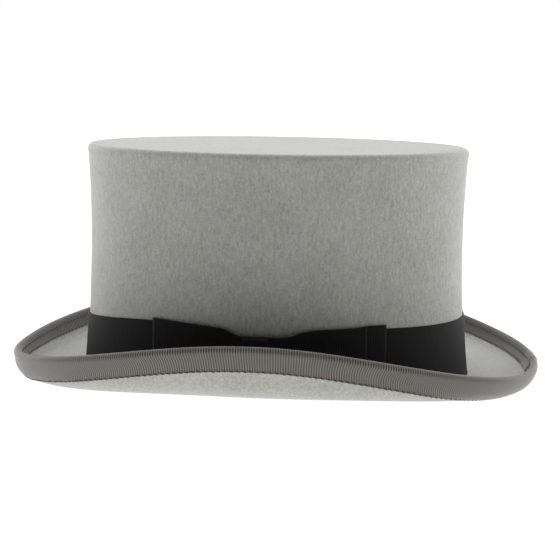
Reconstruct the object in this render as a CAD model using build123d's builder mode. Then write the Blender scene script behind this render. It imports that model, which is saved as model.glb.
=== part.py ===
"""Top hat of stiff felt: bound and wired brim, ribbon band with a flat bow, leather sweatband, lining.

Millimetres. +Z is up, the front of the hat faces -Y, and the wearer's left side, with the bow, faces +X.
The origin is under the middle of the hat, on the surface that the brim stands on.
A "rise" is a height over the break, the corner between crown and brim, at the back.
A "depth" is counted inward from the crown's outer surface, so the band and the bow have negative depths.
"""
from build123d import *
from math import cos, pi, radians, sin
import os

os.makedirs("parts", exist_ok=True)

# Where the crown's axis and the break at the back are in the part's frame
crown_axis_y = -0.6
break_height = 1.2

# Crown: upright ovals, narrowest at the waist, with a flat top (the tip)
crown_half_length = 104.0
crown_half_width = 87.6
waist_inset = 4.0
waist_rise = 72.0
tip_inset = 2.0
crown_rise = 122.0
tip_edge_radius = 3.0
felt_thickness = 2.0
form_levels = (-12.0, 0.0, 20.0, 40.0, 56.0, 72.0, 88.0, 106.0)

# Brim: each row goes from the back, by the side, to the front, an eighth of a turn apart
break_rise = (0.0, 4.6, 4.5, 5.6, 0.6)
brim_slope = (-0.4, -0.3, 5.1, -5.1, -1.4)
brim_width = (40.9, 50.7, 51.8, 51.1, 42.6)
curl_radius = (9.4, 12.6, 23.3, 16.6, 6.0)
curl_angle = (79.7, 59.1, 50.5, 64.4, 88.0)
lip_width = (1.2, 6.7, 21.2, 9.3, 5.3)
sections_per_turn = 24

# Binding: ribbon folded over the edge of the brim, wider under it, with a wire inside the fold
binding_width = 12.9
binding_upper_width = 8.0
binding_thickness = 0.5
binding_gap = 0.1
wire_radius = 0.8
seam_margin = 1.2
stitch_half_width = 0.3
stitch_thickness = 0.3

# Band and bow: ribbon round the foot of the crown
band_top_rise = (33.4, 34.8, 37.4, 35.5, 30.8)
band_thickness = 0.7
pinch_depth = 8.0
pinch_reach = 56.0
bow_half_height = 15.2
bow_middle_rise = 23.0
bow_thickness = 1.6
knot_middle_y = -3.6
knot_half_width = 6.2
knot_half_height = 10.3
knot_thickness = 0.8

# Inside: lining, sweatband, its reed, its stitches and its small bow
lining_thickness = 0.4
lining_foot_rise = 16.0
sweatband_thickness = 1.2
sweatband_foot = 1.5
sweatband_width = 40.0
reed_radius = 1.2
reed_drop = 0.2
sweatband_seam = 2.5
inner_bow_half_width = 11.0
inner_bow_half_height = 4.5
inner_bow_waist = 1.5
inner_bow_rise = 20.0
inner_bow_thickness = 1.0

fit_gap = 0.05
far = 160.0
base = Plane(origin=(0, crown_axis_y, break_height))
side_view = Plane(origin=base.origin, x_dir=(0, 1, 0), z_dir=(1, 0, 0))
back_view = Plane(origin=base.origin, x_dir=(-1, 0, 0), z_dir=(0, 1, 0))


def around(values, angle):
    """Smooth closed curve through five values, from the back (0) by the side to the front (pi)."""
    total = 0.0
    for order in range(5):
        amount = 0.0
        for place in range(5):
            share = 0.5 if place in (0, 4) else 1.0
            amount += share * values[place] * cos(pi * order * place / 4)
        share = 0.5 if order in (0, 4) else 1.0
        total += share * amount / 2 * cos(order * angle)
    return total


def crown_inset(rise):
    """How far the crown's wall is inside the oval of the break, at a height."""
    if rise < waist_rise:
        return waist_inset * (1 - ((waist_rise - rise) / waist_rise) ** 2)
    above = (rise - waist_rise) / (crown_rise - waist_rise)
    return waist_inset + (tip_inset - waist_inset) * above**2


def crown_form(depth, top=crown_rise):
    """Solid inside the crown's outer surface by a depth, up to a height."""
    levels = [rise for rise in form_levels if rise < top - 1.0] + [top]
    with BuildPart() as form:
        for rise in levels:
            inset = crown_inset(rise) + depth
            with BuildSketch(base.offset(rise)):
                Ellipse(crown_half_width - inset, crown_half_length - inset)
        loft()
    return form.part


def layer(inner_depth, outer_depth):
    """Thin shell that follows the crown's wall, between two depths."""
    inner = crown_form(inner_depth)
    outer = crown_form(outer_depth)
    with BuildPart() as shell:
        add(outer)
        add(inner, mode=Mode.SUBTRACT)
    return shell.part


def side_line(values, lift):
    """A height that varies round the crown, as a line seen from the side, from back to front."""
    angles = [pi * step / 12 for step in range(13)]
    return [(crown_half_length * cos(angle), around(values, angle) + lift) for angle in angles]


def curtain(line, end_rise):
    """Solid across the whole hat, between a line seen from the side and a level height."""
    (back_y, back_rise), (front_y, front_rise) = line[0], line[-1]
    with BuildPart() as solid:
        with BuildSketch(side_view):
            with BuildLine():
                Spline(line)
                Line((front_y, front_rise), (-far, front_rise))
                Line((-far, front_rise), (-far, end_rise))
                Line((-far, end_rise), (far, end_rise))
                Line((far, end_rise), (far, back_rise))
                Line((far, back_rise), (back_y, back_rise))
            make_face()
        extrude(amount=far, both=True)
    return solid.part


def ring_layer(inner_depth, outer_depth, foot_line, top_line):
    """Layer of the crown's wall between two lines seen from the side."""
    shell = layer(inner_depth, outer_depth)
    under = curtain(foot_line, -far)
    over = curtain(top_line, far)
    with BuildPart() as ring:
        add(shell)
        add(under, mode=Mode.SUBTRACT)
        add(over, mode=Mode.SUBTRACT)
    return ring.part


def patch(inner_depth, outer_depth, view, outline):
    """Piece of a layer of the crown's wall, cut to an outline seen from one side."""
    shell = layer(inner_depth, outer_depth)
    with BuildPart() as piece:
        with BuildSketch(view):
            with BuildLine():
                Polyline(*outline, close=True)
            make_face()
        extrude(amount=far)
        add(shell, mode=Mode.INTERSECT)
    return piece.part


def rectangle(left, right, bottom, top):
    """Corners of an upright rectangle."""
    return [(left, bottom), (right, bottom), (right, top), (left, top)]


def section_plane(angle):
    """Upright plane square to the break line: x is outward from the break, y is up."""
    outward = Vector(sin(angle) / crown_half_width, cos(angle) / crown_half_length, 0).normalized()
    foot = base.origin + Vector(
        crown_half_width * sin(angle),
        crown_half_length * cos(angle),
        around(break_rise, angle),
    )
    return Plane(origin=foot, x_dir=outward, z_dir=outward.cross(Vector(0, 0, 1)))


def brim_point(angle, along, lift):
    """Point of the brim's section: distance along its middle line, and height over that line."""
    slope = radians(around(brim_slope, angle))
    turn = radians(around(curl_angle, angle))
    radius = around(curl_radius, angle)
    lip = around(lip_width, angle)
    flat = around(brim_width, angle) - radius * turn - lip
    curled = min(max(along - flat, 0.0), radius * turn)
    tilt = slope + curled / radius
    straight = min(along, flat)
    extra = max(along - flat - radius * turn, 0.0)
    out = straight * cos(slope) + radius * (sin(tilt) - sin(slope)) + extra * cos(tilt)
    up = straight * sin(slope) - radius * (cos(tilt) - cos(slope)) + extra * sin(tilt)
    return out - lift * sin(tilt), up + lift * cos(tilt)


def brim_tangent(angle, along):
    """Direction of the brim's section away from the crown."""
    here = brim_point(angle, along, 0.0)
    raised = brim_point(angle, along, 1.0)
    return raised[1] - here[1], here[0] - raised[0]


def brim_curve(angle, start, stop, lift, pieces):
    """Control points of smooth curves along the brim's section, at one height over its middle line."""
    stops = [start + (stop - start) * step / pieces for step in range(pieces + 1)]
    places = [Vector(*brim_point(angle, along, lift)) for along in stops]
    runs = [Vector(*brim_tangent(angle, along)) for along in stops]
    sign = 1.0 if stop > start else -1.0
    curves = []
    for first, last, first_run, last_run in zip(places, places[1:], runs, runs[1:]):
        reach = sign * (last - first).length / 3
        curves.append((first, first + first_run * reach, last - last_run * reach, last))
    return curves


def round_the_brim(make_section):
    """Loft of a section round half of the brim, mirrored to the whole."""
    step = 2 * pi / sections_per_turn
    places = range(-1, sections_per_turn // 2 + 2)
    sections = [make_section(place * step).face() for place in places]
    with BuildPart() as ring:
        loft(sections=sections)
        split(bisect_by=Plane.YZ, keep=Keep.TOP)
        mirror(about=Plane.YZ)
    return ring.part


def felt_section(angle):
    """Section of the felt brim, from inside the crown's wall to its rounded edge."""
    half = felt_thickness / 2
    width = around(brim_width, angle)
    bound = width - binding_width
    upper_bound = width - binding_upper_width
    edge = width - wire_radius - fit_gap - half
    under = brim_curve(angle, -half, bound, -half, 4) + brim_curve(angle, bound, edge, -half, 2)
    over = brim_curve(angle, edge, upper_bound, half, 2) + brim_curve(angle, upper_bound, -half, half, 4)
    with BuildSketch(section_plane(angle)) as section:
        with BuildLine():
            for curve in under:
                Bezier(*curve)
            ThreePointArc(under[-1][3], brim_point(angle, edge + half, 0.0), over[0][0])
            for curve in over:
                Bezier(*curve)
            Line(over[-1][3], under[0][0])
        make_face()
    return section.sketch


def binding_section(angle):
    """Section of the binding: a U over the brim's edge."""
    edge = around(brim_width, angle)
    bound = edge - binding_width
    upper_bound = edge - binding_upper_width
    inner = felt_thickness / 2 + binding_gap
    outer = inner + binding_thickness
    outside = brim_curve(angle, bound, edge, -outer, 2), brim_curve(angle, edge, upper_bound, outer, 2)
    inside = brim_curve(angle, upper_bound, edge, inner, 2), brim_curve(angle, edge, bound, -inner, 2)
    with BuildSketch(section_plane(angle)) as section:
        with BuildLine():
            for curve in outside[0] + outside[1] + inside[0] + inside[1]:
                Bezier(*curve)
            ThreePointArc(outside[0][-1][3], brim_point(angle, edge + outer, 0.0), outside[1][0][0])
            ThreePointArc(inside[0][-1][3], brim_point(angle, edge + inner, 0.0), inside[1][0][0])
            Line(outside[1][-1][3], inside[0][0][0])
            Line(inside[1][-1][3], outside[0][0][0])
        make_face()
    return section.sketch


def round_cord(find_point, radius):
    """Round cord that follows one point of the sections round half of the hat, mirrored to the whole."""
    step = 2 * pi / sections_per_turn
    angles = [place * step for place in range(-1, sections_per_turn // 2 + 2)]
    places = [section_plane(angle).from_local_coords(Vector(*find_point(angle))) for angle in angles]
    with BuildPart() as cord:
        with BuildLine() as path:
            Spline(*places)
        with BuildSketch(Plane(origin=path.line @ 0, z_dir=path.line % 0)):
            Circle(radius)
        sweep(path=path.line)
        split(bisect_by=Plane.YZ, keep=Keep.TOP)
        mirror(about=Plane.YZ)
    return cord.part


def wire_point(angle):
    """Middle of the wire in the fold of the binding."""
    return brim_point(angle, around(brim_width, angle), 0.0)


def reed_point(angle):
    """Middle of the reed under the sweatband, just inside the break."""
    return -felt_thickness - 2 * fit_gap - reed_radius, -reed_drop


def seam_section(angle, width, side):
    """Section of a row of stitches near the binding's edge: side is 1 over the brim, -1 under it."""
    middle = around(brim_width, angle) - width + seam_margin
    near = side * (felt_thickness / 2 + binding_gap + binding_thickness + fit_gap)
    away = near + side * stitch_thickness
    inward, outward = middle - stitch_half_width, middle + stitch_half_width
    corners = [(inward, near), (outward, near), (outward, away), (inward, away)]
    with BuildSketch(section_plane(angle)) as section:
        with BuildLine():
            Polyline(*[brim_point(angle, along, lift) for along, lift in corners], close=True)
        make_face()
    return section.sketch


def save(builder, name):
    """Labels a finished piece and writes its STEP file."""
    builder.part.label = name
    export_step(builder.part, "parts/" + name + ".step")


# Felt body: crown, tip and brim are one piece, blocked from one felt hood
outer_form = crown_form(0.0)
inner_form = crown_form(felt_thickness, crown_rise - felt_thickness)
below_break = curtain(side_line(break_rise, 0.0), -far)
felt_brim = round_the_brim(felt_section)
with BuildPart() as felt_body:
    add(outer_form)
    fillet(felt_body.faces().sort_by(Axis.Z)[-1].edges(), radius=tip_edge_radius)
    add(inner_form, mode=Mode.SUBTRACT)
    add(below_break, mode=Mode.SUBTRACT)
    add(felt_brim)
save(felt_body, "felt_body")

# Brim binding, and the wire in its fold
binding_ring = round_the_brim(binding_section)
with BuildPart() as brim_binding:
    add(binding_ring)
save(brim_binding, "brim_binding")

wire_ring = round_cord(wire_point, wire_radius)
with BuildPart() as brim_wire:
    add(wire_ring)
save(brim_wire, "brim_wire")

# Binding seam: two rows of stitches, over the brim and under it
over_row = round_the_brim(lambda angle: seam_section(angle, binding_upper_width, 1))
under_row = round_the_brim(lambda angle: seam_section(angle, binding_width, -1))
with BuildPart() as binding_thread:
    add(over_row)
    add(under_row)
save(binding_thread, "binding_thread")

# Hat band: its foot stands on the brim, and the bow's knot draws its top edge down
band_foot_line = side_line(break_rise, felt_thickness / 2 + 3 * fit_gap)
band_ring = ring_layer(-fit_gap, -fit_gap - band_thickness, band_foot_line, side_line(band_top_rise, 0.0))
pinch_line = []
for step in range(13):
    share = step / 6 - 1
    rise = band_top_rise[2] - pinch_depth * (1 - share**2) ** 2
    pinch_line.append((knot_middle_y + pinch_reach * share, rise))
with BuildPart() as pinch:
    with BuildSketch(side_view):
        with BuildLine():
            Spline(pinch_line)
            Line(pinch_line[-1], (pinch_line[-1][0], far))
            Line((pinch_line[-1][0], far), (pinch_line[0][0], far))
            Line((pinch_line[0][0], far), pinch_line[0])
        make_face()
    extrude(amount=far)
with BuildPart() as hat_band:
    add(band_ring)
    add(pinch.part, mode=Mode.SUBTRACT)
save(hat_band, "hat_band")

# Bow: a flat folded ribbon over the band, drawn in at the knot, with a hem at its rear end
bow_share = [(-56.0, 1.0), (-49.0, 0.975), (-22.0, 0.86), (-9.7, 0.61), (11.0, 0.61)]
bow_share += [(19.3, 0.77), (27.0, 0.845), (46.5, 0.895), (53.0, 0.94), (60.5, 0.94)]
bow_outline = [(y, bow_middle_rise + share * bow_half_height) for y, share in bow_share]
bow_outline += [(y, bow_middle_rise - share * bow_half_height) for y, share in reversed(bow_share)]
bow_depth = -band_thickness - 2 * fit_gap
bow_front = bow_depth - bow_thickness
bow_patch = patch(bow_depth, bow_front, side_view, bow_outline)
with BuildPart() as bow_ribbon:
    add(bow_patch)
save(bow_ribbon, "bow_ribbon")

# Knot: a short ribbon folded over the middle of the bow, open towards the crown
knot_left = knot_middle_y - knot_half_width
knot_right = knot_middle_y + knot_half_width
knot_foot = bow_middle_rise - knot_half_height
knot_top = bow_middle_rise + knot_half_height
knot_front = bow_front - 2 * fit_gap - knot_thickness
knot_outline = rectangle(knot_left, knot_right, knot_foot, knot_top)
knot_opening = rectangle(
    knot_left - 1, knot_right + 1, knot_foot + knot_thickness, knot_top - knot_thickness
)
knot_block = patch(bow_depth - fit_gap, knot_front, side_view, knot_outline)
knot_tunnel = patch(0.0, knot_front + knot_thickness, side_view, knot_opening)
with BuildPart() as bow_knot:
    add(knot_block)
    add(knot_tunnel, mode=Mode.SUBTRACT)
save(bow_knot, "bow_knot")

# Lining: a strip round the wall and an oval under the tip
lining_depth = felt_thickness + 2 * fit_gap
lining_top = crown_rise - felt_thickness - lining_thickness - 3 * fit_gap
lining_foot_line = side_line((lining_foot_rise,) * 5, 0.0)
lining_strip = ring_layer(
    lining_depth + lining_thickness, lining_depth, lining_foot_line, side_line((lining_top,) * 5, 0.0)
)
with BuildPart() as lining_side:
    add(lining_strip)
save(lining_side, "lining_side")

tip_lining_inset = tip_inset + felt_thickness + 2 * lining_thickness
with BuildPart() as lining_tip:
    with BuildSketch(base.offset(lining_top + fit_gap)):
        Ellipse(crown_half_width - tip_lining_inset, crown_half_length - tip_lining_inset)
    extrude(amount=lining_thickness)
save(lining_tip, "lining_tip")

# Sweatband: a leather strip inside the foot of the crown, over the lining's lower edge
sweatband_depth = lining_depth + lining_thickness + fit_gap
sweatband_inside = sweatband_depth + sweatband_thickness
sweatband_strip = ring_layer(
    sweatband_inside,
    sweatband_depth,
    side_line(break_rise, sweatband_foot),
    side_line(break_rise, sweatband_foot + sweatband_width),
)
with BuildPart() as sweatband:
    add(sweatband_strip)
save(sweatband, "sweatband")

# Reed: a round cord along the sweatband's lower edge
reed_ring = round_cord(reed_point, reed_radius)
with BuildPart() as sweatband_reed:
    add(reed_ring)
save(sweatband_reed, "sweatband_reed")

# Sweatband seam: the row of stitches that holds the sweatband to the felt
sweatband_row = ring_layer(
    sweatband_inside + fit_gap + stitch_thickness,
    sweatband_inside + fit_gap,
    side_line(break_rise, sweatband_seam - stitch_half_width),
    side_line(break_rise, sweatband_seam + stitch_half_width),
)
with BuildPart() as sweatband_thread:
    add(sweatband_row)
save(sweatband_thread, "sweatband_thread")

# Small bow inside at the back, where the sweatband's two ends meet
inner_bow_depth = sweatband_inside + fit_gap
inner_bow_corners = [
    (-inner_bow_half_width, inner_bow_half_height),
    (0.0, inner_bow_waist),
    (inner_bow_half_width, inner_bow_half_height),
    (inner_bow_half_width, -inner_bow_half_height),
    (0.0, -inner_bow_waist),
    (-inner_bow_half_width, -inner_bow_half_height),
]
inner_bow_outline = [(x, inner_bow_rise + height) for x, height in inner_bow_corners]
inner_bow_patch = patch(
    inner_bow_depth + inner_bow_thickness, inner_bow_depth, back_view, inner_bow_outline
)
with BuildPart() as sweatband_bow:
    add(inner_bow_patch)
save(sweatband_bow, "sweatband_bow")
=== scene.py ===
"""Looks of the felt top hat: felt body, ribbed brim binding, ribbon band with its bow, and the inside.

Sizes are in millimetres, as in the CAD model, and become metres in to_mesh(). Rows of five values go
from the back of the hat, by the side, to the front, an eighth of a turn apart.
"""
import math

import bmesh
import bpy
import numpy as np
from mathutils import Matrix, Vector


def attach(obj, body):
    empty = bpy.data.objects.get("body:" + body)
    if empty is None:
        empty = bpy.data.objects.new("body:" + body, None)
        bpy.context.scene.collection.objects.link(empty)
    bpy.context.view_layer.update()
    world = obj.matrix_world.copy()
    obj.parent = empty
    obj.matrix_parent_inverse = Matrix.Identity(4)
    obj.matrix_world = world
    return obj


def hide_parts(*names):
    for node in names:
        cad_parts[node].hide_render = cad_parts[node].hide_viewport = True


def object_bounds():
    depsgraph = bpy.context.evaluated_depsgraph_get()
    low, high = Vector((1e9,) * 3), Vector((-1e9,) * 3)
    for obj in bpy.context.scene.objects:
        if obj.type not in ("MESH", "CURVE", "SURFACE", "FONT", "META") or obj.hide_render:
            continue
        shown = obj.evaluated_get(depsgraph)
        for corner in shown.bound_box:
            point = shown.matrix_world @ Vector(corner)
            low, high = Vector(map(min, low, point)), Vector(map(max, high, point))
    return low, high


MM = 0.001
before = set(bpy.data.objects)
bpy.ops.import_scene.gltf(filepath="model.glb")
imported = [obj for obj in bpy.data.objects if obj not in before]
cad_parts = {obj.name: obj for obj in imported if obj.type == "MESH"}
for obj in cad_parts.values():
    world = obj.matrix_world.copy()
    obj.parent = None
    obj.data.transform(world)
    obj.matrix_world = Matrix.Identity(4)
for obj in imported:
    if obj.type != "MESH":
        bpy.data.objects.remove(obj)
cad_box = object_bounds()

# Crown
AXIS_Y = -0.6
BREAK_Z = 1.2
HALF_LENGTH = 104.0
HALF_WIDTH = 87.6
WAIST_INSET = 4.0
WAIST_RISE = 72.0
TIP_INSET = 2.0
CROWN_RISE = 122.0
TIP_EDGE = 3.0
FELT = 2.0
FRONT_TUCK = 1.3
FRONT_TUCK_RISE = 45.0
FELT_ROWS = 480

# Brim and its binding
BREAK_RISE = (0.0, 4.6, 4.5, 5.6, 0.6)
BRIM_SLOPE = (-0.4, -0.3, 5.1, -5.1, -1.4)
BRIM_WIDTH = (40.9, 50.7, 51.8, 51.1, 42.6)
CURL_RADIUS = (9.4, 12.6, 23.3, 16.6, 6.0)
CURL_ANGLE = (79.7, 59.1, 50.5, 64.4, 88.0)
LIP_WIDTH = (1.2, 6.7, 21.2, 9.3, 5.3)
BINDING_WIDTH = 12.9
BINDING_UPPER_WIDTH = 8.0
WIRE_RADIUS = 0.8
WIRE_GAP = 0.05
SEAM_MARGIN = 1.2
DENT_HALF_WIDTH = 0.6
DENT_DEPTH = 0.22
ROLL_SWELL = 0.45
ROLL_REACH = 2.4
ROLL_ROW_FROM_EDGE = 2.1
BINDING_THICKNESS = 0.5
BINDING_GAP = 0.1
LAP_PROUD = 0.25
LAP_ANGLES = (-0.115, 0.02)
BINDING_STITCHES = 270
RIBS_ROUND_BRIM = 700
RIB_HEIGHT = 0.16
RIB_BOW = 0.27
RIB_LAG = 0.05

# Band and bow
BAND_TOP_RISE = (33.4, 34.8, 37.4, 35.5, 30.8)
BAND_THICKNESS = 0.7
RIBS_ROUND_BAND = 560
PINCH_DEPTH = 8.0
PINCH_REACH = 56.0
KNOT_Y = -3.6
KNOT_HALF_WIDTH = 6.2
KNOT_HALF_HEIGHT = 10.3
KNOT_ROWS = 97
BOW_MIDDLE = 23.0
BOW_HALF_HEIGHT = 15.2
PUCKER_REACH = 14.0
BOW_Y = (-56.8, -49.0, -22.0, -9.7, 11.0, 19.3, 27.0, 46.5, 53.0, 60.5)
BOW_SHARE = (1.0, 0.975, 0.86, 0.61, 0.61, 0.77, 0.845, 0.895, 0.94, 0.94)

# Inside
LINING_DEPTH = 2.1
SWEATBAND_DEPTH = 2.55
SWEATBAND_THICKNESS = 1.2
SWEATBAND_FOOT = 1.5
SWEATBAND_WIDTH = 40.0
SWEATBAND_STITCHES = 180
SEAM_OVER_BREAK = 2.5
LINING_FOOT = 16.0
LINING_TOP = 119.3
TIP_LINING_RISE = 119.35
TIP_LINING_INSET = 4.5
TIP_LINING_SAG = 1.1
TIP_LINING_THICKNESS = 0.5
REED_OUT = -3.3
REED_UP = -0.2
REED_RADIUS = 1.12
TAPE_SWELL = 0.08
TAPE_TURNS = 160
SMALL_BOW_RISE = 20.0


def around(values, angle):
    """Smooth closed curve through five values, from the back (0) by the side to the front (pi)."""
    angle = np.asarray(angle, float)
    total = np.zeros_like(angle)
    for order in range(5):
        amount = 0.0
        for place in range(5):
            share = 0.5 if place in (0, 4) else 1.0
            amount += share * values[place] * math.cos(math.pi * order * place / 4)
        share = 0.5 if order in (0, 4) else 1.0
        total = total + share * amount / 2 * np.cos(order * angle)
    return total


def crown_inset(rise):
    """How far the crown's wall is inside the oval of the break, at a height."""
    rise = np.asarray(rise, float)
    low = WAIST_INSET * (1 - ((WAIST_RISE - rise) / WAIST_RISE) ** 2)
    above = (rise - WAIST_RISE) / (CROWN_RISE - WAIST_RISE)
    high = WAIST_INSET + (TIP_INSET - WAIST_INSET) * above**2
    return np.where(rise < WAIST_RISE, low, high)


def oval(angle, inset, rise):
    """Points on the crown's oval, made smaller all round by an inset."""
    angle, inset, rise = np.broadcast_arrays(angle, inset, rise)
    x = (HALF_WIDTH - inset) * np.sin(angle)
    tuck = FRONT_TUCK * np.clip(-np.cos(angle), 0, 1) ** 2 * np.clip(1 - rise / FRONT_TUCK_RISE, 0, 1)
    y = (HALF_LENGTH - inset) * np.cos(angle) + tuck + AXIS_Y
    return np.stack([x, y, rise + BREAK_Z], axis=-1)


def wall(angle, rise, depth):
    """Points inside the crown's outer surface by a depth; a negative depth is outside it."""
    return oval(angle, crown_inset(rise) + depth, rise)


def brim_section(angle, along, lift):
    """Distance out and height over the break, along the brim's middle line and square to it."""
    angle, along, lift = np.broadcast_arrays(angle, along, lift)
    slope = np.radians(around(BRIM_SLOPE, angle))
    turn = np.radians(around(CURL_ANGLE, angle))
    radius = around(CURL_RADIUS, angle)
    lip = around(LIP_WIDTH, angle)
    flat = around(BRIM_WIDTH, angle) - radius * turn - lip
    curled = np.clip(along - flat, 0.0, radius * turn)
    tilt = slope + curled / radius
    straight = np.minimum(along, flat)
    extra = np.maximum(along - flat - radius * turn, 0.0)
    out = straight * np.cos(slope) + radius * (np.sin(tilt) - np.sin(slope)) + extra * np.cos(tilt)
    up = straight * np.sin(slope) - radius * (np.cos(tilt) - np.cos(slope)) + extra * np.sin(tilt)
    return out - lift * np.sin(tilt), up + lift * np.cos(tilt)


def from_break(angle, out, up):
    """Points at a distance out from the break and a height over it, square to the oval."""
    angle, out, up = np.broadcast_arrays(angle, out, up)
    normal = np.stack([np.sin(angle) / HALF_WIDTH, np.cos(angle) / HALF_LENGTH], axis=-1)
    normal /= np.linalg.norm(normal, axis=-1, keepdims=True)
    x = HALF_WIDTH * np.sin(angle) + out * normal[..., 0]
    y = HALF_LENGTH * np.cos(angle) + out * normal[..., 1] + AXIS_Y
    return np.stack([x, y, around(BREAK_RISE, angle) + up + BREAK_Z], axis=-1)


def brim(angle, along, lift):
    """Points of the brim."""
    return from_break(angle, *brim_section(angle, along, lift))


def even_angles(curve, count):
    """Angles that divide a closed curve, given as a function of the angle, into equal lengths."""
    fine = np.linspace(0, 2 * math.pi, 2881)
    steps = np.linalg.norm(np.diff(curve(fine), axis=0), axis=-1)
    run = np.concatenate([[0], np.cumsum(steps)])
    return np.interp(np.arange(count) / count * run[-1], run, fine)


# Meshes ------------------------------------------------------------------------------------------


def to_mesh(name, points, faces, material, shade=None):
    """Mesh object from points in millimetres, that rides on the hat."""
    mesh = bpy.data.meshes.new(name)
    mesh.from_pydata((np.asarray(points) * MM).tolist(), [], faces)
    mesh.polygons.foreach_set("use_smooth", [True] * len(mesh.polygons))
    if shade is not None:
        # The shade attribute holds the rib wave, which the ribbon materials turn into painted shade in the
        # grooves.
        layer = mesh.attributes.new("shade", "FLOAT", "POINT")
        layer.data.foreach_set("value", np.asarray(shade, np.float32).ravel())
    shell = bmesh.new()
    shell.from_mesh(mesh)
    bmesh.ops.recalc_face_normals(shell, faces=shell.faces)
    shell.to_mesh(mesh)
    shell.free()
    piece = bpy.data.objects.new(name, mesh)
    bpy.context.scene.collection.objects.link(piece)
    piece.data.materials.append(material)
    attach(piece, "root")
    return piece


def grid_faces(rows, columns, wrap_rows, wrap_columns):
    """Quads of a grid of points, numbered row by row."""
    row = np.arange(rows if wrap_rows else rows - 1)
    column = np.arange(columns if wrap_columns else columns - 1)
    r, c = np.meshgrid(row, column, indexing="ij")
    r2, c2 = (r + 1) % rows, (c + 1) % columns
    quads = np.stack([r * columns + c, r2 * columns + c, r2 * columns + c2, r * columns + c2], axis=-1)
    return quads.reshape(-1, 4).tolist()


def ring(name, points, material, shade=None):
    """Closed ring: points[angle][place in the closed section]."""
    rows, columns = points.shape[:2]
    return to_mesh(name, points.reshape(-1, 3), grid_faces(rows, columns, True, True), material, shade)


def slab(name, front, back, material, shade):
    """Closed plate from the points of its front and its back, each points[row][column], and their ribs."""
    rows, columns = front.shape[:2]
    loop = np.concatenate([front, back[:, ::-1]], axis=1)
    faces = grid_faces(rows, 2 * columns, False, True)
    for row in (0, rows - 1):
        start = row * 2 * columns
        for c in range(columns - 1):
            quad = [start + c, start + c + 1, start + 2 * columns - 2 - c, start + 2 * columns - 1 - c]
            faces.append(quad if row == 0 else quad[::-1])
    shade = np.concatenate([shade, shade[:, ::-1]], axis=1)
    return to_mesh(name, loop.reshape(-1, 3), faces, material, shade)


# Materials ---------------------------------------------------------------------------------------


class Nodes:
    """Small helper that adds and links the nodes of one material."""

    def __init__(self, name):
        self.material = bpy.data.materials.new(name)
        self.material.use_nodes = True
        self.tree = self.material.node_tree
        self.shader = self.tree.nodes["Principled BSDF"]
        self.place = self.add("ShaderNodeTexCoord").outputs["Object"]

    def add(self, kind, **values):
        node = self.tree.nodes.new(kind)
        for key, value in values.items():
            setattr(node, key, value)
        return node

    def link(self, start, end):
        self.tree.links.new(start, end)

    def noise(self, scale, detail, roughness, stretch=None):
        node = self.add("ShaderNodeTexNoise")
        node.inputs["Scale"].default_value = scale
        node.inputs["Detail"].default_value = detail
        node.inputs["Roughness"].default_value = roughness
        source = self.place
        if stretch:
            mapping = self.add("ShaderNodeMapping")
            mapping.inputs["Scale"].default_value = stretch
            self.link(source, mapping.inputs["Vector"])
            source = mapping.outputs["Vector"]
        self.link(source, node.inputs["Vector"])
        return node.outputs["Fac"]

    def attribute(self, name):
        return self.add("ShaderNodeAttribute", attribute_name=name).outputs["Fac"]

    def ramp(self, factor, stops):
        node = self.add("ShaderNodeValToRGB")
        while len(node.color_ramp.elements) < len(stops):
            node.color_ramp.elements.new(0.5)
        for element, (place, colour) in zip(node.color_ramp.elements, stops):
            element.position = place
            element.color = (*colour, 1.0)
        self.link(factor, node.inputs["Fac"])
        return node.outputs["Color"]

    def sum(self, parts):
        total = None
        for value, weight in parts:
            scaled = self.add("ShaderNodeMath", operation="MULTIPLY")
            self.link(value, scaled.inputs[0])
            scaled.inputs[1].default_value = weight
            if total is None:
                total = scaled.outputs[0]
            else:
                joined = self.add("ShaderNodeMath", operation="ADD")
                self.link(total, joined.inputs[0])
                self.link(scaled.outputs[0], joined.inputs[1])
                total = joined.outputs[0]
        return total

    def bump(self, height, distance, strength):
        node = self.add("ShaderNodeBump")
        node.inputs["Strength"].default_value = strength
        node.inputs["Distance"].default_value = distance
        self.link(height, node.inputs["Height"])
        self.link(node.outputs["Normal"], self.shader.inputs["Normal"])

    def finish(self, colour, **constants):
        self.link(colour, self.shader.inputs["Base Color"])
        for key, value in constants.items():
            self.shader.inputs[key].default_value = value
        return self.material


def felt_material():
    """Grey wool felt: fibres in a fine mottle, larger cloudy patches, soft sheen."""
    n = Nodes("wool_felt")
    fibre = n.noise(2400.0, 2.0, 0.7)
    fleck = n.noise(1000.0, 3.0, 0.65)
    streak = n.noise(700.0, 3.0, 0.6, stretch=(1.0, 1.0, 0.4))
    cloud = n.noise(45.0, 4.0, 0.55)
    mottle = n.sum([(fibre, 0.36), (fleck, 0.26), (streak, 0.28), (cloud, 0.10)])
    tones = [(0.37, (0.29, 0.295, 0.268)), (0.50, (0.452, 0.458, 0.420)), (0.63, (0.61, 0.615, 0.575))]
    colour = n.ramp(mottle, tones)
    n.bump(n.sum([(fibre, 0.5), (fleck, 0.35), (streak, 0.35)]), 0.0004, 0.6)
    return n.finish(
        colour,
        **{"Roughness": 0.95, "Specular IOR Level": 0.15, "Sheen Weight": 0.6, "Sheen Roughness": 0.5},
    )


def grosgrain_material(name, painted_groove_shade, crown, sheen, roughness, gloss):
    """Ribbed ribbon: the ribs are in the mesh, and painted shade darkens the grooves between them, with fine
    threads across.
    """
    n = Nodes(name)
    shade = n.attribute("shade")
    thread = n.noise(2600.0, 2.0, 0.6)
    wear = n.noise(160.0, 3.0, 0.6)
    # Painted shade: the rib wave in the shade attribute runs the colour from the rib crowns down to the dark
    # colour of the shaded grooves.
    level = n.sum([(shade, 0.72), (thread, 0.18), (wear, 0.10)])
    colour = n.ramp(level, [(0.10, painted_groove_shade), (0.85, crown)])
    n.bump(thread, 0.00025, 0.35)
    return n.finish(
        colour,
        **{
            "Roughness": roughness,
            "Specular IOR Level": gloss,
            "Sheen Weight": sheen,
            "Sheen Roughness": 0.45,
        },
    )


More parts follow.
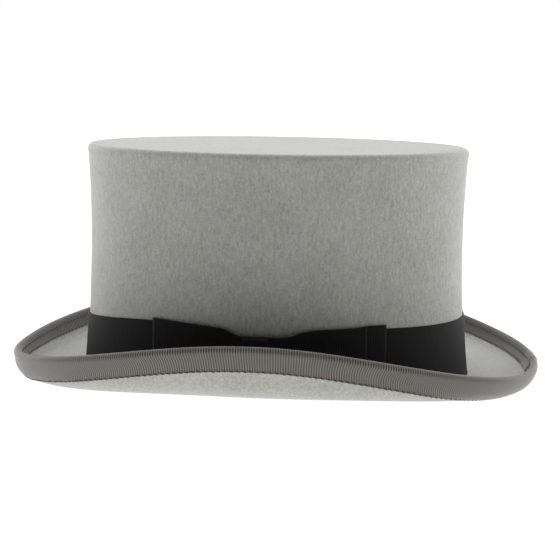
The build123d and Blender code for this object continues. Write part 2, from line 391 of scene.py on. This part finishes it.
def thread_material(name, dark, light):
    """Twisted sewing thread."""
    n = Nodes(name)
    twist = n.noise(3000.0, 2.0, 0.6)
    n.bump(twist, 0.0002, 0.5)
    return n.finish(n.ramp(twist, [(0.35, dark), (0.65, light)]), **{"Roughness": 0.8, "Sheen Weight": 0.2})


def leather_material():
    """Smooth brown leather with a fine grain."""
    n = Nodes("sweatband_leather")
    cells = n.add("ShaderNodeTexVoronoi", feature="DISTANCE_TO_EDGE")
    cells.inputs["Scale"].default_value = 900.0
    n.link(n.place, cells.inputs["Vector"])
    tone = n.noise(60.0, 4.0, 0.6)
    n.bump(cells.outputs["Distance"], 0.0003, 0.35)
    colour = n.ramp(tone, [(0.3, (0.10, 0.045, 0.02)), (0.7, (0.17, 0.085, 0.04))])
    return n.finish(colour, **{"Roughness": 0.45, "Specular IOR Level": 0.45})


def satin_material():
    """Off-white satin: fine weave lines and a soft shine."""
    n = Nodes("lining_satin")
    weave = n.noise(900.0, 2.0, 0.5, stretch=(1.0, 1.0, 6.0))
    n.bump(weave, 0.0002, 0.25)
    colour = n.ramp(weave, [(0.3, (0.66, 0.64, 0.58)), (0.7, (0.78, 0.76, 0.71))])
    return n.finish(colour, **{"Roughness": 0.32, "Specular IOR Level": 0.6, "Sheen Weight": 0.15})


def steel_material():
    """Drawn steel wire."""
    n = Nodes("steel_wire")
    scratch = n.noise(1200.0, 2.0, 0.5)
    n.bump(scratch, 0.0001, 0.2)
    colour = n.ramp(scratch, [(0.3, (0.45, 0.45, 0.46)), (0.7, (0.6, 0.6, 0.61))])
    return n.finish(colour, **{"Metallic": 1.0, "Roughness": 0.35})


def stitches(name, first, last, outward, radius, rise, material):
    """Short arched threads, each from one point to another, closed at both ends."""
    sides, rings = 6, 5
    first, last, outward = (np.asarray(value, float) for value in (first, last, outward))
    run = last - first
    run /= np.linalg.norm(run, axis=-1, keepdims=True)
    side = np.cross(run, outward)
    side /= np.linalg.norm(side, axis=-1, keepdims=True)
    up = np.cross(side, run)
    share = np.linspace(0, 1, rings)[None, :, None, None]
    turn = (np.arange(sides) / sides * 2 * math.pi)[None, None, :, None]
    middle = first[:, None, None] + (last - first)[:, None, None] * share
    middle = middle + outward[:, None, None] * rise * 4 * share * (1 - share)
    size = radius * (0.35 + 0.65 * np.sin(math.pi * np.clip(share, 0.12, 0.88)) ** 0.5)
    points = middle + size * (np.cos(turn) * side[:, None, None] + np.sin(turn) * up[:, None, None])
    faces = []
    tube = grid_faces(rings, sides, False, True)
    caps = [list(range(sides))[::-1], [(rings - 1) * sides + s for s in range(sides)]]
    for stitch in range(len(first)):
        start = stitch * rings * sides
        faces += [[start + corner for corner in face] for face in tube + caps]
    return to_mesh(name, points.reshape(-1, 3), faces, material)


def ripple(rows):
    """Rib wave with four rows of points to a rib: thin crests and wider grooves."""
    return np.tile([1.0, 0.35, 0.0, 0.35], rows // 4)[:, None]


wool = felt_material()
binding_ribbon = grosgrain_material(
    "binding_grosgrain", (0.036, 0.0315, 0.0265), (0.214, 0.189, 0.163), 0.95, 0.75, 0.3
)
band_ribbon = grosgrain_material(
    "band_grosgrain", (0.0055, 0.0055, 0.0068), (0.0155, 0.0152, 0.018), 0.006, 0.6, 0.12
)
inner_bow_ribbon = grosgrain_material(
    "inner_bow_grosgrain", (0.02, 0.012, 0.008), (0.09, 0.055, 0.035), 0.1, 0.5, 0.4
)
dark_thread = thread_material("dark_thread", (0.012, 0.008, 0.010), (0.035, 0.026, 0.030))
grey_thread = thread_material("grey_thread", (0.08, 0.072, 0.064), (0.17, 0.15, 0.135))
brown_thread = thread_material("brown_thread", (0.05, 0.022, 0.01), (0.10, 0.05, 0.025))
reed_cloth = thread_material("reed_cloth", (0.14, 0.11, 0.08), (0.24, 0.20, 0.15))
leather = leather_material()
satin = satin_material()
steel = steel_material()

# Felt body --------------------------------------------------------------------------------------

angles = even_angles(lambda a: brim(a, around(BRIM_WIDTH, a), 0.0), FELT_ROWS)[:, None]
break_rise = around(BREAK_RISE, angles)
width = around(BRIM_WIDTH, angles)


def disc(share, rise, edge_inset):
    """Rings of a level oval, from its middle out."""
    share = np.asarray(share)[None, :]
    points = oval(angles, np.full_like(share * angles, edge_inset), rise)
    middle = np.array([0.0, AXIS_Y, rise + BREAK_Z])
    return middle + (points - middle) * share[..., None]


def brim_face(side_lift, along_share, start, stop):
    """Rings of one face of the brim."""
    along = start + (stop - start) * np.asarray(along_share)[None, :]
    return brim(angles, along, np.full_like(along, side_lift))


half = FELT / 2
rim = width - WIRE_RADIUS - WIRE_GAP - half
dent = width - BINDING_WIDTH + SEAM_MARGIN
corner = np.linspace(0, math.pi / 2, 7)[None, :]
tip_inset = TIP_INSET + TIP_EDGE * (1 - np.sin(corner))
tip_ring = oval(angles, tip_inset, CROWN_RISE - TIP_EDGE * (1 - np.cos(corner)))
top_of_wall = CROWN_RISE - TIP_EDGE
wall_share = np.linspace(0, 1, 42)[None, 1:]
outer_rise = top_of_wall + (break_rise + half - top_of_wall) * wall_share
outer_wall = wall(angles, outer_rise, 0.0)
turn = np.linspace(math.pi / 2, -math.pi / 2, 7)[None, 1:-1]
rim_ring = brim(angles, rim + half * np.cos(turn), half * np.sin(turn))
inner_share = np.linspace(0, 1, 14)[None, :]
inner_rise = break_rise - 0.6 + (CROWN_RISE - FELT - break_rise + 0.6) * inner_share
inner_wall = wall(angles, inner_rise, FELT)
profile = np.concatenate(
    [
        disc([0.02, 0.12, 0.25, 0.4, 0.55, 0.7, 0.83, 0.93], CROWN_RISE, TIP_INSET + TIP_EDGE),
        tip_ring,
        outer_wall,
        brim_face(half, np.linspace(0.02, 1, 28), 0.0, dent - DENT_HALF_WIDTH),
        brim_face(half - DENT_DEPTH, [0.0], dent, dent),
        brim_face(half, np.linspace(0, 1, 9), dent + DENT_HALF_WIDTH, rim),
        rim_ring,
        brim_face(-half, np.linspace(1, 0, 34), 0.0, rim),
        inner_wall,
        disc([0.9, 0.7, 0.5, 0.3, 0.15, 0.02], CROWN_RISE - FELT, TIP_INSET + FELT),
    ],
    axis=1,
)
rows, columns = profile.shape[:2]
faces = grid_faces(rows, columns, True, False)
tip_centre = [0.0, AXIS_Y, CROWN_RISE + BREAK_Z]
ceiling_centre = [0.0, AXIS_Y, CROWN_RISE - FELT + BREAK_Z]
last = rows * columns
for row in range(rows):
    after = (row + 1) % rows
    faces.append([last, row * columns, after * columns])
    faces.append([last + 1, after * columns + columns - 1, row * columns + columns - 1])
felt_points = np.concatenate([profile.reshape(-1, 3), [tip_centre, ceiling_centre]])
felt = to_mesh("felt_hood", felt_points, faces, wool)
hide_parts("felt_body")

# Brim binding: grosgrain folded over the edge, its ribs square to the edge -----------------------

rows = RIBS_ROUND_BRIM * 4
angles = even_angles(lambda a: brim(a, around(BRIM_WIDTH, a), 0.0), rows)[:, None]
inner = FELT / 2 + BINDING_GAP
outer = inner + BINDING_THICKNESS


def rib_line(start, from_edge):
    """Angles along the ribs, which bow towards the sides of the hat between the fold and the edges."""
    slant = np.cos(start) * np.abs(np.cos(start)) * np.sin(start) * np.abs(np.sin(start))
    share = np.clip(-from_edge / BINDING_WIDTH, 0, 1)
    return start + slant * (RIB_BOW * share * (1 - share) - RIB_LAG * share)


def on_binding(start, from_edge, lift):
    """Points on the ribs: angle at the fold, distance past the brim's edge, height over its middle."""
    start, from_edge, lift = np.broadcast_arrays(start, from_edge, lift)
    line = rib_line(start, from_edge)
    return brim(line, around(BRIM_WIDTH, line) + from_edge, lift)


def fold_section(outside, wave):
    """Outer side of the ribbon from under the brim to over it: distance past the edge, lift and ribs."""
    under_share = np.array([0.0, 0.027, 0.07, 0.116, 0.2, 0.36, 0.52, 0.68, 0.8, 0.9, 1.0])
    fold = np.radians([-60, -30, 0, 30, 60])
    below = (under_share - 1) * BINDING_WIDTH
    above = (under_share[::-1] - 1) * BINDING_UPPER_WIDTH
    from_edge = np.concatenate([below, outside * np.cos(fold), above])
    places = len(under_share)
    lift = np.concatenate([np.full(places, -outside), outside * np.sin(fold), np.full(places, outside)])
    roll_end = np.exp(-((above / ROLL_REACH) ** 2))
    rolled = np.concatenate([np.zeros(places), [0.0, 0.1, 0.35, 0.75, 1.0], roll_end])
    swell = 1 + ROLL_SWELL / outside * rolled
    selvedge = np.array([0.0, 0.75, 0.1, 0.75] + [1.0] * (places - 4))
    ribs = np.concatenate([selvedge, np.ones(len(fold)), selvedge[::-1]])
    proud = swell[None, :] * (1 + RIB_HEIGHT / outside * (wave - 0.4) * ribs[None, :])
    past_edge = np.where(from_edge > 0, from_edge * proud, from_edge)
    return past_edge, lift * proud, wave * ribs


wave = ripple(rows)
from_edge, lift, shade = fold_section(outer, wave)
in_from_edge = np.array([-BINDING_UPPER_WIDTH, -4.0, 0.0, inner, 0.0, -6.0, -BINDING_WIDTH])
in_lift = np.array([inner, inner, inner, 0.0, -inner, -inner, -inner])
outside = on_binding(angles, from_edge, lift)
inside = on_binding(angles, in_from_edge[None, :], in_lift[None, :])
shade = np.concatenate([shade, np.zeros((rows, len(in_from_edge)))], axis=1)
binding = ring("binding_ribbon", np.concatenate([outside, inside], axis=1), binding_ribbon, shade)
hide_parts("brim_binding")

# Where the binding's two ends lap over each other, near the middle of the back
rows = 49
lap_angles = np.linspace(*LAP_ANGLES, rows)[:, None]
wave = ripple(rows + 3)[:rows]
from_edge, lift, shade = fold_section(outer + LAP_PROUD, wave)
front = on_binding(lap_angles, from_edge, lift)
reverse = on_binding(lap_angles, from_edge * 0.985, lift * 0.88)
lap = slab("binding_lap", front, reverse, binding_ribbon, shade)
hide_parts("brim_binding")

# Binding seam: stitches over the ribbon's two edges, and a row along its roll --------------------

dice = np.random.default_rng(7)
seam = even_angles(lambda a: brim(a, around(BRIM_WIDTH, a) - BINDING_WIDTH, 0.0), BINDING_STITCHES)
pitch = 2 * math.pi / BINDING_STITCHES


def stitch_row(side, width, low, high):
    """Ends and outward directions of one row: side 1 is over the brim, low and high are across the row."""
    wobble = dice.uniform(-0.25, 0.25, (2, BINDING_STITCHES))
    start = around(BRIM_WIDTH, seam) - width
    swell = ROLL_SWELL * math.exp(-((width / ROLL_REACH) ** 2)) if side > 0 else 0.0
    first_lift = FELT / 2 + 0.15 if low < 0 else outer + swell + 0.1
    first = brim(seam, start + low + wobble[0] * 0.5, side * first_lift)
    last_along = start + high + wobble[1]
    last = brim(seam + pitch * (0.66 + wobble[1] * 0.4), last_along, side * (outer + swell + 0.12))
    outward = brim(seam, start, side * 2.0) - brim(seam, start, side * 1.0)
    return first, last, outward


under_row = stitch_row(-1.0, BINDING_WIDTH, -0.25, 1.0)
edge_row = stitch_row(1.0, BINDING_UPPER_WIDTH, -0.2, 0.9)
roll_row = stitch_row(1.0, ROLL_ROW_FROM_EDGE, 0.0, 0.4)
over_rows = [np.concatenate(pair) for pair in zip(edge_row, roll_row)]
for name, row, material in (
    ("binding_stitches_under", under_row, dark_thread),
    ("binding_stitches_over", over_rows, grey_thread),
):
    seam_stitches = stitches(name, *row, 0.3, 0.18, material)
    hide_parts("binding_thread")

# Hat band ---------------------------------------------------------------------------------------


def band_top(angle):
    """Height of the band's top edge, drawn down by the bow's knot."""
    across = (HALF_LENGTH * np.cos(angle) - KNOT_Y) / PINCH_REACH
    pinch = BAND_TOP_RISE[2] - PINCH_DEPTH * (1 - np.clip(across, -1, 1) ** 2) ** 2
    under_bow = (np.abs(across) < 1) & (np.sin(angle) > 0)
    top = around(BAND_TOP_RISE, angle)
    return np.where(under_bow, np.minimum(top, pinch), top)


rows = RIBS_ROUND_BAND * 4
angles = even_angles(lambda a: wall(a, np.full_like(a, 20.0), 0.0), rows)[:, None]
foot = around(BREAK_RISE, angles) + FELT / 2 + 0.15
top = band_top(angles)
edge = np.array([0.0, 0.35, 0.7, 1.05, 1.4])
edge_ribs = np.array([0.0, 0.75, 0.1, 0.75, 0.2])
body = np.linspace(0, 1, 10)[1:-1]
body_rise = foot + edge[-1] + (top - foot - 2 * edge[-1]) * body[None, :]
rise = np.concatenate([foot + edge[None, :], body_rise, top - edge[None, ::-1]], axis=1)
rib_share = np.concatenate([edge_ribs, np.ones(len(body)), edge_ribs[::-1]])[None, :]
wave = ripple(rows)
flare = (0.15 + 0.15 * np.cos(angles)) * np.clip(1 - (rise - foot) / 3.0, 0, 1) ** 2
depth = -0.05 - BAND_THICKNESS - flare - 0.09 * wave * rib_share
back_rise = foot + (top - foot) * np.array([1.0, 0.6, 0.3, 0.0])[None, :]
outer_face = wall(angles, rise, depth)
inner_face = wall(angles, back_rise, np.full_like(back_rise, -0.05))
shade = np.concatenate([wave * rib_share, np.zeros((rows, 4))], axis=1)
band = ring("band_ribbon", np.concatenate([outer_face, inner_face], axis=1), band_ribbon, shade)
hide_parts("hat_band")

# Bow: an under layer with two free ends, two flat loops, and a knot ------------------------------


def side_wall(y, rise, depth):
    """Points on the crown's left side, at a distance behind its axis, a height and a depth."""
    y, rise, depth = np.broadcast_arrays(y, rise, depth)
    inset = crown_inset(rise) + depth
    along = y / (HALF_LENGTH - inset)
    x = (HALF_WIDTH - inset) * np.sqrt(1 - along**2)
    return np.stack([x, y + AXIS_Y, rise + BREAK_Z], axis=-1)


def smooth_line(values, places, heights):
    """Curve through points, with no overshoot between them."""
    slopes = np.diff(heights) / np.diff(places)
    harmonic = 2 / (1 / (slopes[1:] + 1e-9) + 1 / (slopes[:-1] + 1e-9))
    inner_slopes = np.where(slopes[1:] * slopes[:-1] > 0, harmonic, 0)
    tangents = np.concatenate([slopes[:1], inner_slopes, slopes[-1:]])
    span = np.clip(np.searchsorted(places, values) - 1, 0, len(slopes) - 1)
    places, heights = np.asarray(places), np.asarray(heights)
    length = places[span + 1] - places[span]
    u = np.clip((values - places[span]) / length, 0, 1)
    blend = heights[span] * (1 + 2 * u) * (1 - u) ** 2 + heights[span + 1] * u**2 * (3 - 2 * u)
    return blend + length * (tangents[span] * u * (1 - u) ** 2 - tangents[span + 1] * u**2 * (1 - u))


def bow_layer(name, start, stop, back, front, puff, pucker):
    """One ribbon layer of the bow, with ribs, a soft swell and puckers that run to the knot."""
    count = int((stop - start) / 0.3) // 4 * 4
    y = np.linspace(start, stop, count)[:, None]
    share = smooth_line(y, BOW_Y, BOW_SHARE)
    across = np.linspace(-1, 1, 25)[None, :]
    rise = BOW_MIDDLE + across * share * BOW_HALF_HEIGHT
    end = np.clip(np.minimum(y - start, stop - y) / 0.7, 0, 1)
    end = np.sqrt(1 - (1 - end) ** 2)
    near = np.exp(-np.abs(y - KNOT_Y) / PUCKER_REACH)
    swell = puff * np.sin(math.pi * np.clip((y - start) / (stop - start), 0, 1)) * (1 - across**4)
    folds = pucker * near * np.cos(across * 7.5 + 0.06 * y) * (1 - across**8)
    wave = ripple(count)
    edge = np.where(np.abs(across) > 0.93, 0.25, 1.0)
    proud = end * (front - back + swell + folds) + 0.09 * wave * edge
    face = side_wall(y, rise, -(back + proud))
    reverse = side_wall(y, rise, np.full_like(rise, -back))
    piece = slab(name, face, reverse, band_ribbon, wave * edge)
    return piece


under = bow_layer("bow_under_layer", BOW_Y[0], BOW_Y[-1], 0.95, 1.5, 0.1, 0.1)
front_loop = bow_layer("bow_front_loop", -56.2, KNOT_Y + 1.0, 1.65, 2.35, 0.5, 0.45)
rear_loop = bow_layer("bow_rear_loop", KNOT_Y - 1.0, 51.0, 1.65, 2.35, 0.5, 0.45)
for piece in (under, front_loop, rear_loop):
    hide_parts("bow_ribbon")

path = np.linspace(0, 1, KNOT_ROWS)[:, None]
across = np.linspace(-1, 1, 21)[None, :]
height = KNOT_HALF_HEIGHT - 0.6
corner_turn = np.clip(path / 0.1, 0, 1) * math.pi / 2
low_turn = np.clip((1 - path) / 0.1, 0, 1) * math.pi / 2
front_depth = 0.9 + 2.6 * np.minimum(np.sin(corner_turn), np.sin(low_turn)) ** 0.6
knot_rise = BOW_MIDDLE + (height - 0.3) - path * 2 * (height - 0.3)
pleats = 0.35 * (np.clip((across + 0.35) * 12, 0, 1) - np.clip((across - 0.38) * 12, 0, 1))
roundness = 0.45 * (1 - across**2) ** 0.5
wave = ripple(KNOT_ROWS + 3)[:KNOT_ROWS]
y = KNOT_Y + across * KNOT_HALF_WIDTH * (1 + 0.03 * np.cos(path * 9))
front = side_wall(y, knot_rise, -(front_depth + roundness + pleats + 0.1 * wave))
back = side_wall(y, BOW_MIDDLE + (knot_rise - BOW_MIDDLE) * 0.93, -(front_depth + roundness - 0.6).clip(0.9))
knot = slab("bow_knot_ribbon", front, back, band_ribbon, np.broadcast_to(wave, (KNOT_ROWS, across.shape[1])))
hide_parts("bow_knot")

# Inside: lining with gathers, sweatband, its stitches and its small bow --------------------------

rows = 720
angles = np.linspace(0, 2 * math.pi, rows, endpoint=False)[:, None]
share = np.linspace(0, 1, 26)[None, :]
rise = LINING_FOOT + (LINING_TOP - LINING_FOOT) * share
gather = 0.5 * share**2 * (0.5 + 0.5 * np.cos(angles * 72 + 1.5 * np.sin(angles * 5)))
slack = 0.5 * np.sin(math.pi * share) * (0.5 + 0.5 * np.sin(angles * 9 + share * 2))
face = wall(angles, rise, LINING_DEPTH + 0.4 + gather + slack)
reverse = wall(angles, rise[:, ::-1][:, ::5], np.full((rows, 6), LINING_DEPTH))
lining = ring("lining_wall", np.concatenate([face, reverse], axis=1), satin)
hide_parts("lining_side")

foot = around(BREAK_RISE, angles) + SWEATBAND_FOOT
share = np.linspace(0, 1, 20)[None, :]
rise = foot + SWEATBAND_WIDTH * share
roll = 0.25 * np.sin(math.pi * np.clip(share / 0.12, 0, 1)) + 0.35 * np.clip((share - 0.9) / 0.1, 0, 1)
ease = 0.3 * share * np.sin(angles * 4 + 1.0)
depth = SWEATBAND_DEPTH + SWEATBAND_THICKNESS + 0.3 + roll + ease
face = wall(angles, rise, depth)
reverse = wall(angles, rise[:, ::-1][:, ::4], (depth - 1.1)[:, ::-1][:, ::4].clip(SWEATBAND_DEPTH))
leather_band = ring("sweatband_leather", np.concatenate([face, reverse], axis=1), leather)
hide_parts("sweatband")

# Tip of the lining: an oval of satin that hangs a little in the middle, gathered at its edge
rows = 240
angles = np.linspace(0, 2 * math.pi, rows, endpoint=False)[:, None]
share = np.array([0.03, 0.15, 0.3, 0.45, 0.6, 0.72, 0.82, 0.9, 0.95, 0.98, 1.0])[None, :]
sag = TIP_LINING_SAG * (1 - share**4) + 0.3 * share**6 * np.cos(angles * 60)
crease = 0.25 * share * (1 - share) * np.sin(angles * 7 + share * 9)
middle = np.array([0.0, AXIS_Y, 0.0])
tip_edge = oval(angles, TIP_LINING_INSET, -BREAK_Z)
lower = middle + (tip_edge - middle) * share[..., None]
lower[..., 2] = TIP_LINING_RISE - sag - crease + BREAK_Z
upper = middle + (tip_edge - middle) * np.array([1.0, 0.8, 0.5, 0.25, 0.03])[None, :, None]
upper[..., 2] = TIP_LINING_RISE + TIP_LINING_THICKNESS + BREAK_Z
profile = np.concatenate([lower, upper], axis=1)
columns = profile.shape[1]
faces = grid_faces(rows, columns, True, False)
last = rows * columns
for row in range(rows):
    after = (row + 1) % rows
    faces.append([last, after * columns, row * columns])
    faces.append([last + 1, row * columns + columns - 1, after * columns + columns - 1])
under_middle = [0.0, AXIS_Y, TIP_LINING_RISE - TIP_LINING_SAG + BREAK_Z]
over_middle = [0.0, AXIS_Y, TIP_LINING_RISE + TIP_LINING_THICKNESS + BREAK_Z]
ends = [under_middle, over_middle]
tip_panel = to_mesh("lining_tip_panel", np.concatenate([profile.reshape(-1, 3), ends]), faces, satin)
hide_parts("lining_tip")

# Sweatband seam: stitches near its lower edge
seam_depth = SWEATBAND_DEPTH + SWEATBAND_THICKNESS + 0.5
seam = even_angles(lambda a: wall(a, np.full_like(a, 4.0), seam_depth), SWEATBAND_STITCHES)
seam_end = seam + 0.6 * 2 * math.pi / SWEATBAND_STITCHES
first = wall(seam, around(BREAK_RISE, seam) + SEAM_OVER_BREAK, seam_depth)
last = wall(seam_end, around(BREAK_RISE, seam_end) + SEAM_OVER_BREAK, seam_depth)
inward = wall(seam, np.full_like(seam, 4.0), 6.0) - wall(seam, np.full_like(seam, 4.0), 4.0)
leather_stitches = stitches("sweatband_stitches", first, last, inward, 0.25, 0.15, brown_thread)
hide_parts("sweatband_thread")

# Reed: a cord wrapped with narrow cloth tape, under the sweatband's lower edge
rows = 1440
angles = np.linspace(0, 2 * math.pi, rows, endpoint=False)[:, None]
turn = (np.arange(12) / 12 * 2 * math.pi)[None, :]
radius = REED_RADIUS + TAPE_SWELL * np.cos(turn + angles * TAPE_TURNS)
reed_points = from_break(angles, REED_OUT + radius * np.cos(turn), REED_UP + radius * np.sin(turn))
reed = ring("reed_wrapped", reed_points, reed_cloth)
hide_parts("sweatband_reed")

# Small bow inside at the back: two loops and a knot


def back_wall(x, rise, depth):
    """Points inside the back of the crown, at a distance to the side, a height and a depth."""
    x, rise, depth = np.broadcast_arrays(x, rise, depth)
    return wall(np.arcsin(x / (HALF_WIDTH - crown_inset(rise) - depth)), rise, depth)


def small_bow_piece(name, start, stop, heights, lift, puff):
    """One loop or the knot of the small bow."""
    rows, columns = 41, 13
    x = np.linspace(start, stop, rows)[:, None]
    along = np.linspace(0, 1, rows)[:, None]
    across = np.linspace(-1, 1, columns)[None, :]
    half_height = np.interp(along, (0.0, 0.3, 0.85, 1.0), heights)
    swell = puff * np.sin(math.pi * along) ** 0.7 * np.sqrt(1 - 0.8 * across**2)
    wave = ripple(rows + 3)[:rows]
    face = back_wall(x, SMALL_BOW_RISE + across * half_height, lift + swell + 0.04 * wave)
    reverse = back_wall(x, SMALL_BOW_RISE + across * half_height, np.full_like(swell, lift - 0.25))
    piece = slab(name, face, reverse, inner_bow_ribbon, np.broadcast_to(wave, (rows, columns)))
    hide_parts("sweatband_bow")


small_bow_piece("inner_bow_left_loop", -0.8, -11.0, (1.5, 3.2, 4.5, 4.1), 4.45, 0.8)
small_bow_piece("inner_bow_right_loop", 0.8, 11.0, (1.5, 3.2, 4.5, 4.1), 4.45, 0.8)
small_bow_piece("inner_bow_knot", -1.7, 1.7, (1.9, 2.1, 2.1, 1.9), 4.75, 0.6)

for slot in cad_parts["brim_wire"].material_slots:
    slot.material = steel

# Stage: pale floor level with the hat's lowest point, and light from all round but the bow's side --

LIGHT_TILT = -0.14
BRIGHT_SIDE, DIM_SIDE = 2.05, 0.02
low = cad_box[0][2]
floor = bpy.data.objects.new("floor", bpy.data.meshes.new("floor"))
floor.data.from_pydata([(-4, -4, low), (4, -4, low), (4, 4, low), (-4, 4, low)], [], [(0, 1, 2, 3)])
bpy.context.scene.collection.objects.link(floor)
paper = bpy.data.materials.new("light_table")
paper.use_nodes = True
paper_shader = paper.node_tree.nodes["Principled BSDF"]
paper_shader.inputs["Base Color"].default_value = (0.25, 0.25, 0.25, 1)
paper_shader.inputs["Roughness"].default_value = 1.0
paper_shader.inputs["Specular IOR Level"].default_value = 0.0
paper_shader.inputs["Emission Color"].default_value = (1, 1, 1, 1)
paper_shader.inputs["Emission Strength"].default_value = 0.97
floor.data.materials.append(paper)

world = bpy.data.worlds.new("studio")
bpy.context.scene.world = world
world.use_nodes = True
tree = world.node_tree
tent = tree.nodes["Background"]
direction = tree.nodes.new("ShaderNodeTexCoord")
axes = tree.nodes.new("ShaderNodeSeparateXYZ")
tree.links.new(direction.outputs["Generated"], axes.inputs[0])
share = tree.nodes.new("ShaderNodeMath")
share.operation = "MULTIPLY_ADD"
share.inputs[1].default_value = 0.5
share.inputs[2].default_value = 0.5
tilt = tree.nodes.new("ShaderNodeMath")
tilt.operation = "MULTIPLY_ADD"
tilt.inputs[1].default_value = LIGHT_TILT
tree.links.new(axes.outputs["Z"], tilt.inputs[0])
tree.links.new(axes.outputs["X"], tilt.inputs[2])
tree.links.new(tilt.outputs[0], share.inputs[0])
ramp = tree.nodes.new("ShaderNodeValToRGB")
ramp.color_ramp.elements[0].position = 0.331
ramp.color_ramp.elements[0].color = (BRIGHT_SIDE, BRIGHT_SIDE, BRIGHT_SIDE, 1)
ramp.color_ramp.elements[1].position = 0.626
ramp.color_ramp.elements[1].color = (DIM_SIDE, DIM_SIDE, DIM_SIDE, 1)
tree.links.new(share.outputs[0], ramp.inputs["Fac"])
tree.links.new(ramp.outputs["Color"], tent.inputs["Color"])
backdrop = tree.nodes.new("ShaderNodeBackground")
seen = tree.nodes.new("ShaderNodeLightPath")
either = tree.nodes.new("ShaderNodeMixShader")
tree.links.new(seen.outputs["Is Camera Ray"], either.inputs["Fac"])
tree.links.new(tent.outputs["Background"], either.inputs[1])
tree.links.new(backdrop.outputs["Background"], either.inputs[2])
tree.links.new(either.outputs["Shader"], tree.nodes["World Output"].inputs["Surface"])
backdrop.inputs["Color"].default_value = (1, 1, 1, 1)

# Camera ------------------------------------------------------------------------------------------

DISTANCE, HEIGHT = 850.0, 170.55
yaw, pitch, roll = (math.radians(value) for value in (4.1, 8.17, 0.9))
right = Vector((-math.sin(yaw), math.cos(yaw), 0))
over = Vector((-math.sin(pitch) * math.cos(yaw), -math.sin(pitch) * math.sin(yaw), math.cos(pitch)))
ahead = Vector((-math.cos(pitch) * math.cos(yaw), -math.cos(pitch) * math.sin(yaw), -math.sin(pitch)))
across_view = math.cos(roll) * right + math.sin(roll) * over
up_view = -math.sin(roll) * right + math.cos(roll) * over
camera = bpy.data.objects.new("camera", bpy.data.cameras.new("camera"))
place = Vector((DISTANCE * math.cos(yaw), DISTANCE * math.sin(yaw) + AXIS_Y, HEIGHT + BREAK_Z)) * MM
view_axes = Matrix((across_view, up_view, -ahead)).transposed().to_4x4()
camera.matrix_world = Matrix.Translation(place) @ view_axes
camera.data.sensor_width = 36.0
camera.data.lens = 101.58
camera.data.shift_x = 0.00707
camera.data.clip_end = 20.0
bpy.context.scene.collection.objects.link(camera)
bpy.context.scene.camera = camera
bpy.context.scene.view_settings.view_transform = "Standard"
